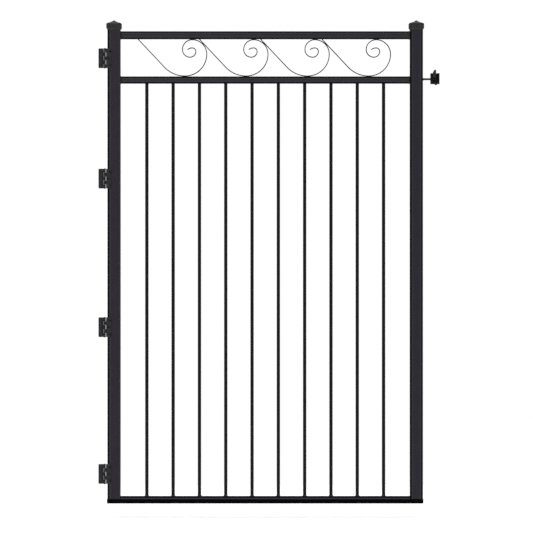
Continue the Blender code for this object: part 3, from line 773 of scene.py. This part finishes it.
# %% Spot the scrolls and the striker rod
FLAT_SPOT = (6 * MM, 5 * MM, 1.3 * MM)
HEEL_SPOT = (4 * MM, 5 * MM, 1.3 * MM)
SIDE_SPOT = (2.6 * MM, 4.5 * MM, 2.6 * MM)
belly_offset = -straight_start_x
spots = []
for start in scroll_starts:
    belly = Vector((start.x + belly_offset, start.y, belly_z - BAR_THICKNESS / 2))
    spots.append(drop(belly, FLAT_SPOT))
    shoulder_x = belly.x + BELLY_RADIUS - shoulder_radius
    top = Vector((shoulder_x, start.y, shoulder_z + BAR_THICKNESS / 2))
    spots.append(drop(top, FLAT_SPOT))
    heel = Vector((start.x, start.y, shoulder_z + BAR_THICKNESS / 2))
    spots.append(drop(heel, HEEL_SPOT))
for start in scroll_starts[:-1]:  # where a scroll's shoulder meets the next one's straight
    centre_x = start.x + belly_offset + BELLY_RADIUS - shoulder_radius
    centre_z = shoulder_z - shoulder_radius
    out = shoulder_radius + BAR_THICKNESS / 2
    touch = Vector((centre_x + out * sin(SLOPE), start.y, centre_z + out * cos(SLOPE)))
    spots.append(drop(touch, SIDE_SPOT))
finished_piece("scroll_welds", merged(spots), WELD_COAT, "gate", "infill_coat", sharp=60)

rod_low, rod_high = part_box("striker_rod")
rod_radius = (rod_high.z - rod_low.z) / 2
rod_middle = (rod_low + rod_high) / 2
ring = fillet_round(
    Vector((rod_low.x - SUNK, rod_middle.y, rod_middle.z)),
    rod_radius + 0.3 * MM,
    rod_radius + 3 * MM,
    4 * MM,
    axis="X",
)
finished_piece("striker_rod_weld", ring, WELD_COAT, "gate", "frame_coat", sharp=60)
print(len(spots), "scroll spots")

# %% [markdown]
# ## Hinges
# A butt hinge is two punched plates whose edges are rolled into knuckles that
# take turns along a pin. The plate's outline and its holes are drawn as loose
# edges, filled as one flat face, thickened and softened. The knuckles are
# short rings, spun from a rounded section, with a neck that joins each one to
# its plate.

# %% The hinge's sizes
axis_x, axis_y = frame["joints"][0]["pos_m"][:2]
leaf_low, leaf_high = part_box("hinge_1_post_leaf")
LEAF_WIDTH = axis_x - leaf_low.x
LEAF_HEIGHT = leaf_high.z - leaf_low.z
LEAF_THICKNESS = 2 * MM
LEAF_CORNER = 3 * MM
KNUCKLES = 5
KNUCKLE_RADIUS = 3.75 * MM
BORE_RADIUS = 2.1 * MM
KNUCKLE_GAP = 0.3 * MM
SCREW_ROW = 26 * MM
POST_LEAF = {"inner": 4.2 * MM, "middle_hole": 11 * MM, "hole": 2.6 * MM}
GATE_LEAF = {"inner": 4.7 * MM, "middle_hole": 14 * MM, "hole": 2.2 * MM}
OUTER_HOLE = 20.5 * MM
plate_back = KNUCKLE_RADIUS
print("hinge axis in mm:", round(axis_x / MM, 3), round(axis_y / MM, 3))


# %% Punch a plate and roll its knuckles
def hole_places(kind):
    """(out, up) of a leaf's three holes, from the pin at the hinge's middle."""
    return [(OUTER_HOLE, SCREW_ROW), (kind["middle_hole"], 0), (OUTER_HOLE, -SCREW_ROW)]


def punched_plate(inner, holes, hole_radius):
    """A flat plate to the +X side of the pin, with its holes."""
    shape = bmesh.new()
    bmesh.ops.create_grid(shape, x_segments=1, y_segments=1, size=0.5)
    bmesh.ops.scale(shape, vec=(LEAF_WIDTH - inner, LEAF_HEIGHT, 1), verts=shape.verts)
    bmesh.ops.translate(shape, vec=((LEAF_WIDTH + inner) / 2, 0, 0), verts=shape.verts)
    bmesh.ops.bevel(
        shape,
        geom=[v for v in shape.verts if v.co.x > inner + MM],
        offset=LEAF_CORNER,
        offset_type="OFFSET",
        affect="VERTICES",
        segments=5,
        profile=0.5,
        material=-1,
    )
    bmesh.ops.delete(shape, geom=shape.faces[:], context="FACES_ONLY")
    for out, up in holes:
        spot = Matrix.Translation((out, up, 0))
        bmesh.ops.create_circle(shape, segments=24, radius=hole_radius, matrix=spot)
    bmesh.ops.triangle_fill(shape, edges=shape.edges[:], use_beauty=True, use_dissolve=True)
    bmesh.ops.recalc_face_normals(shape, faces=shape.faces)
    made = bmesh.ops.extrude_face_region(shape, geom=shape.faces[:], use_keep_orig=True)["geom"]
    lifted = [item for item in made if isinstance(item, bmesh.types.BMVert)]
    bmesh.ops.translate(shape, vec=(0, 0, LEAF_THICKNESS), verts=lifted)
    bmesh.ops.recalc_face_normals(shape, faces=shape.faces)
    soften(shape, 0.3 * MM, over=60)
    stand = Matrix.Translation((0, plate_back, 0)) @ Matrix.Rotation(pi / 2, 4, "X")
    bmesh.ops.transform(shape, matrix=stand, verts=shape.verts)
    return shape


print("plate in mm:", round(LEAF_WIDTH / MM, 2), "x", round(LEAF_HEIGHT / MM, 2))


# %% Roll the knuckles and join them to the plate
def rolled_knuckle(low, high, inner):
    """A ring round the pin from low to high, and the neck that joins it to its plate."""
    bevel = 0.35 * MM
    section = [
        (BORE_RADIUS, low),
        (KNUCKLE_RADIUS - bevel, low),
        (KNUCKLE_RADIUS, low + bevel),
        (KNUCKLE_RADIUS, high - bevel),
        (KNUCKLE_RADIUS - bevel, high),
        (BORE_RADIUS, high),
        (BORE_RADIUS, low),
    ]
    ring = turned(section, (0, 0, 0), steps=32)
    clear_of_bore = 1.3 * MM
    neck_low = Vector((clear_of_bore, plate_back - LEAF_THICKNESS, low))
    neck = block(neck_low, Vector((inner + 0.6 * MM, plate_back, high)))
    soften(neck, 0.2 * MM)
    return [ring, neck]


def hinge_leaf(side, own_first, kind, centre):
    """side is -1 for the post's leaf and 1 for the gate's."""
    shapes = [punched_plate(kind["inner"], hole_places(kind), kind["hole"])]
    pitch = LEAF_HEIGHT / KNUCKLES
    for i in range(0 if own_first else 1, KNUCKLES, 2):
        top = LEAF_HEIGHT / 2 - i * pitch
        high = top if i == 0 else top - KNUCKLE_GAP / 2
        low = top - pitch if i == KNUCKLES - 1 else top - pitch + KNUCKLE_GAP / 2
        shapes += rolled_knuckle(low, high, kind["inner"])
    leaf = merged(shapes)
    if side < 0:
        bmesh.ops.scale(leaf, vec=(-1, 1, 1), verts=leaf.verts)
        bmesh.ops.reverse_faces(leaf, faces=leaf.faces)
    bmesh.ops.translate(leaf, vec=centre, verts=leaf.verts)
    return leaf


print("knuckle in mm:", round(LEAF_HEIGHT / KNUCKLES / MM, 2))

# %% [markdown]
# ## Pins and screws
# Pins are turned on a lathe, which is a profile spun about its own axis, and
# their heads are domed. The screws are button heads with a six-sided socket:
# the same spin, with the rings round the socket pulled onto a hexagon. The
# post's leaves take countersunk screws, so only a flush head shows in each hole.

# %% Turn a pin
PIN_RADIUS = 2 * MM
PIN_HEAD = 3.3 * MM
PIN_HEAD_HEIGHT = 1.4 * MM


def hinge_pin(centre):
    """A pin with a domed head at each end."""
    seat = LEAF_HEIGHT / 2 + KNUCKLE_GAP
    end = seat + PIN_HEAD_HEIGHT
    dome = [(0, end), (PIN_HEAD * 0.45, end - 0.12 * MM), (PIN_HEAD * 0.80, end - 0.45 * MM)]
    dome += [(PIN_HEAD, end - MM), (PIN_HEAD, seat), (PIN_RADIUS, seat)]
    return turned(dome + [(out, -up) for out, up in reversed(dome)], centre, steps=32)


print("pin in mm:", round((LEAF_HEIGHT + 2 * (KNUCKLE_GAP + PIN_HEAD_HEIGHT)) / MM, 2))

# %% Turn the screws
SOCKET = 1.6 * MM
HEAD = 4.2 * MM
HEAD_HEIGHT = 2 * MM
SHANK = 1.9 * MM
SCREW_TIP = -14 * MM


def cut_hexagon(shape):
    """Pulls the round socket's rings onto a hexagon."""
    for vertex in shape.verts:
        across = Vector((vertex.co.x, vertex.co.y, 0))
        if vertex.co.z > 0 and 0.9 * SOCKET < across.length < 1.1 * SOCKET:
            turn = (across.to_2d().angle_signed(Vector((1, 0))) + 2 * pi) % (pi / 3)
            pull = cos(pi / 6) / cos(turn - pi / 6)
            vertex.co.x *= pull
            vertex.co.y *= pull


def button_screw(seat):
    """A screw that points along +Y, with the underside of its head at seat."""
    profile = [(0, 0.6 * MM), (SOCKET, 0.6 * MM), (SOCKET, HEAD_HEIGHT - 0.05 * MM)]
    profile += [(SOCKET + 0.2 * MM, HEAD_HEIGHT), (HEAD * 0.68, HEAD_HEIGHT - 0.22 * MM)]
    profile += [(HEAD * 0.90, HEAD_HEIGHT * 0.56), (HEAD, 0.5 * MM), (HEAD, 0.12 * MM)]
    profile += [(HEAD - 0.12 * MM, 0), (SHANK, 0), (SHANK, SCREW_TIP + 3 * MM), (0, SCREW_TIP)]
    return turned(profile, seat, axis="Y", steps=24, cut=cut_hexagon)


def flush_screw(centre):
    """A countersunk screw's head, seated flush in one of the post leaf's holes."""
    rim, back = POST_LEAF["hole"] + 0.05 * MM, 0.1 * MM
    face = LEAF_THICKNESS - 0.25 * MM
    profile = [(0, face - 0.9 * MM), (1.1 * MM, face - 0.9 * MM), (1.2 * MM, face)]
    profile += [(rim - 0.2 * MM, face), (rim, face - 0.2 * MM), (rim, back), (0, back)]
    return turned(profile, centre, axis="Y", steps=24)


def mark_plate(piece, centre):
    """Stores how far each point is from the pin and from the hinge's middle height."""
    across = piece.data.attributes.new("section", "FLOAT_VECTOR", "POINT")
    reach = piece.data.attributes.new("half_section", "FLOAT_VECTOR", "POINT")
    for vertex, place, size in zip(piece.data.vertices, across.data, reach.data):
        away = vertex.co - centre
        place.vector = (away.x, away.z, 0)
        size.vector = (LEAF_WIDTH, LEAF_HEIGHT / 2, 0)


print("screw head in mm:", round(2 * HEAD / MM, 1))

# %% Hang the four hinges
HINGE_COUNT = 4
for number in range(1, HINGE_COUNT + 1):
    name = f"hinge_{number}"
    low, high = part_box(name + "_gate_leaf")
    centre = Vector((axis_x, axis_y, (low.z + high.z) / 2))
    gate_first = number == 1  # the top hinge is the other way up, so the gate can't lift off
    post = hinge_leaf(-1, not gate_first, POST_LEAF, centre)
    plate, leaf = name + "_post_plate", name + "_post_leaf"
    plate = finished_piece(plate, post, PLATE_COAT, "post_hardware", "hardware_coat", leaf)
    mark_plate(plate, centre)
    gate = hinge_leaf(1, gate_first, GATE_LEAF, centre)
    plate, leaf = name + "_gate_plate", name + "_gate_leaf"
    finished_piece(plate, gate, E_COAT, "gate", "hardware_coat", leaf)
    heads = []
    for out, up in hole_places(POST_LEAF):
        spot = Vector((centre.x - out, centre.y + plate_back, centre.z + up))
        heads.append(flush_screw(spot))
    heads = merged(heads)
    finished_piece(name + "_post_screws", heads, BLACK_STEEL, "post_hardware", "fixings")
    pin = name + "_pin"
    shape = hinge_pin(centre)
    finished_piece(pin + "_turned", shape, BLACK_STEEL, "post_hardware", "fixings", pin)
    for i in (1, 2, 3):
        screw = f"{name}_screw_{i}"
        head_low, head_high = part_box(screw)
        spot = (head_low + head_high) / 2
        seat = Vector((spot.x, head_low.y + HEAD_HEIGHT, spot.z))
        finished_piece(
            screw + "_button", button_screw(seat), BLACK_STEEL, "gate", "fixings", screw
        )
    print(name, "at height", round(centre.z / MM, 1))

# %% [markdown]
# ## Catch
# A rod on the gate pushes past a sloped pawl inside a small cast box and drops
# behind it. The box and the pawl already have the right shape, so a copy of
# each solid is cleaned up, its loose triangles merged and flat regions
# dissolved, and its edges softened as a casting's would be.


# %% Soften the cast pieces
CAST_EDGE = 0.45 * MM


def cast_copy(node):
    """A copy of a CAD node with merged corners and rounded edges."""
    shape = bmesh.new()
    shape.from_mesh(frame["nodes"][node].data)
    bmesh.ops.remove_doubles(shape, verts=shape.verts, dist=0.005 * MM)
    bmesh.ops.dissolve_limit(
        shape, angle_limit=radians(1), verts=shape.verts[:], edges=shape.edges[:]
    )
    soften(shape, CAST_EDGE, over=40)
    return shape


CASTINGS = (  # piece, body, node
    ("catch_box", "post_hardware", "catch_housing"),
    ("catch_pawl_casting", "pawl", "catch_pawl"),
)
for name, body, node in CASTINGS:
    finished_piece(name, cast_copy(node), E_COAT, body, "hardware_coat", node, sharp=45)
    print(name, "rides on", body)

# %% Turn the pawl's pin and the striker rod
low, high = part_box("pawl_pin")
middle = (low + high) / 2
radius, half = (high.z - low.z) / 2, (high.x - low.x) / 2
dome = [(0, half), (radius * 0.6, half), (radius, half - 0.5 * MM)]
shape = turned(dome + [(out, -up) for out, up in reversed(dome)], middle, axis="X")
finished_piece("pawl_pin_turned", shape, BLACK_STEEL, "post_hardware", "fixings", "pawl_pin")

half = (rod_high.x - rod_low.x) / 2
end = [(0, half), (rod_radius * 0.6, half - 0.1 * MM), (rod_radius * 0.85, half - 0.6 * MM)]
profile = end + [(rod_radius, half - 1.6 * MM), (rod_radius, -half), (0, -half)]
shape = turned(profile, rod_middle, axis="X")
finished_piece("striker_rod_turned", shape, E_COAT, "gate", "hardware_coat", "striker_rod")
print("rod length in mm:", round(2 * half / MM, 1))

# %% [markdown]
# ## Floor and light
# The gate hangs a little above a plain pale floor. The studio is bright, so
# the floor and the backdrop run out to white. Large soft lights in front and
# above draw the broad sheen of the coat, and the sides and back of the room
# are dimmer, which leaves each rounded corner with its dark outline.

# %% Floor
GROUND_GAP = 55 * MM
floor_shape = bmesh.new()
bmesh.ops.create_grid(floor_shape, x_segments=1, y_segments=1, size=3)
gate_middle = (CAD_BOX[0] + CAD_BOX[1]) / 2
floor_place = (gate_middle.x, 0, CAD_BOX[0].z - GROUND_GAP)
bmesh.ops.translate(floor_shape, vec=floor_place, verts=floor_shape.verts)
floor_mesh = bpy.data.meshes.new("floor")
floor_shape.to_mesh(floor_mesh)
floor_shape.free()
floor = bpy.data.objects.new("floor", floor_mesh)
bpy.context.scene.collection.objects.link(floor)
print("floor below the gate in mm:", round(GROUND_GAP / MM))

# %% Paper on the floor
PAPER_GRAIN = 4 * MM
PAPER_GLOW = 0.45  # lifts the floor to the white of the backdrop
paper, tree = new_finish("studio_paper_matt")
place = add_node(tree, "ShaderNodeTexCoord", out="Object")
fibres = add_node(tree, "ShaderNodeTexNoise", {"Vector": place, "Scale": 1 / PAPER_GRAIN})
tint = add_node(
    tree,
    "ShaderNodeMix",
    {MIX_SHARE: fibres, MIX_FIRST: linear("#f6f6f6"), MIX_SECOND: linear("#fbfbfb")},
    out=MIX_COLOUR,
    data_type="RGBA",
)
surface = {"Base Color": tint, "Roughness": 0.9, "Specular IOR Level": 0.1}
surface.update({"Emission Color": (1, 1, 1, 1), "Emission Strength": PAPER_GLOW})
sheet = add_node(tree, "ShaderNodeBsdfPrincipled", surface)
add_node(tree, "ShaderNodeOutputMaterial", {"Surface": sheet})
floor_mesh.materials.append(paper)
print("paper glows at", PAPER_GLOW)

# %% The room
FRONT_LIGHT, SIDE_LIGHT, BACK_SHARE = 0.80, 0.06, 0.15
world = bpy.data.worlds.new("studio")
bpy.context.scene.world = world
world.use_nodes = True
sky = world.node_tree
sky.nodes.clear()
toward = add_node(sky, "ShaderNodeTexCoord", out="Generated")
parts = add_node(sky, "ShaderNodeSeparateXYZ", {0: toward}).node.outputs
sideways = add_node(sky, "ShaderNodeMath", {0: parts["X"]}, operation="ABSOLUTE")
to_the_side = {0: sideways, 1: 0.30, 2: 0.90, 3: FRONT_LIGHT, 4: SIDE_LIGHT}
to_the_back = {0: parts["Y"], 1: -0.2, 2: 0.6, 3: 1.0, 4: BACK_SHARE}
walls = add_node(sky, "ShaderNodeMapRange", to_the_side)
behind = add_node(sky, "ShaderNodeMapRange", to_the_back)
room = add_node(sky, "ShaderNodeMath", {0: walls, 1: behind}, operation="MULTIPLY")
seen = add_node(sky, "ShaderNodeLightPath", out="Is Camera Ray")
strength = add_node(sky, "ShaderNodeMix", {0: seen, 2: room, 3: 1.0}, data_type="FLOAT")
glow = add_node(sky, "ShaderNodeBackground", {"Color": (1, 1, 1, 1), "Strength": strength})
add_node(sky, "ShaderNodeOutputWorld", {"Surface": glow})
print("room light from", SIDE_LIGHT, "to", FRONT_LIGHT)


# %% Soft lights
def soft_light(name, offset, width, height, power):
    """A rectangular area light that faces the middle of the gate."""
    lamp = bpy.data.lights.new(name, "AREA")
    lamp.shape = "RECTANGLE"
    lamp.size, lamp.size_y = width, height
    lamp.energy = power
    holder = bpy.data.objects.new(name, lamp)
    bpy.context.scene.collection.objects.link(holder)
    holder.location = gate_middle + Vector(offset)
    holder.rotation_euler = (-Vector(offset)).to_track_quat("-Z", "Y").to_euler()
    return holder


LIGHTS = (  # name, place from the gate's middle, width and height in metres, watts
    ("key_left", (-2.6, -3.2, 1.6), 2.0, 2.4, 60),
    ("fill_right", (3.0, -3.0, 0.6), 2.0, 2.4, 25),
    ("overhead", (0, -0.4, 3.2), 3.5, 2.5, 60),
    ("back", (0.8, 3.2, 1.8), 2.5, 2.0, 22),
)
for light in LIGHTS:
    soft_light(*light)

# %% [markdown]
# ## Camera
# A long lens from twenty metres keeps the tubes nearly parallel, square on to
# the front. The lens comes from the width to be shown and the distance.

# %% Camera
VIEW_WIDTH = 2.0594
DISTANCE = 20.0
SENSOR = 36.0
LEFT_OF_MIDDLE = 9.8 * MM
BELOW_MIDDLE = 18.1 * MM
camera_data = bpy.data.cameras.new("camera")
camera_data.sensor_width = SENSOR
camera_data.lens = SENSOR * DISTANCE / VIEW_WIDTH
camera = bpy.data.objects.new("camera", camera_data)
bpy.context.scene.collection.objects.link(camera)
camera.location = gate_middle - Vector((LEFT_OF_MIDDLE, 0, BELOW_MIDDLE))
camera.location.y = -DISTANCE
camera.rotation_euler = (pi / 2, 0, 0)
bpy.context.scene.camera = camera
bpy.context.scene.view_settings.view_transform = "Standard"
print("lens in mm:", round(camera_data.lens, 1))
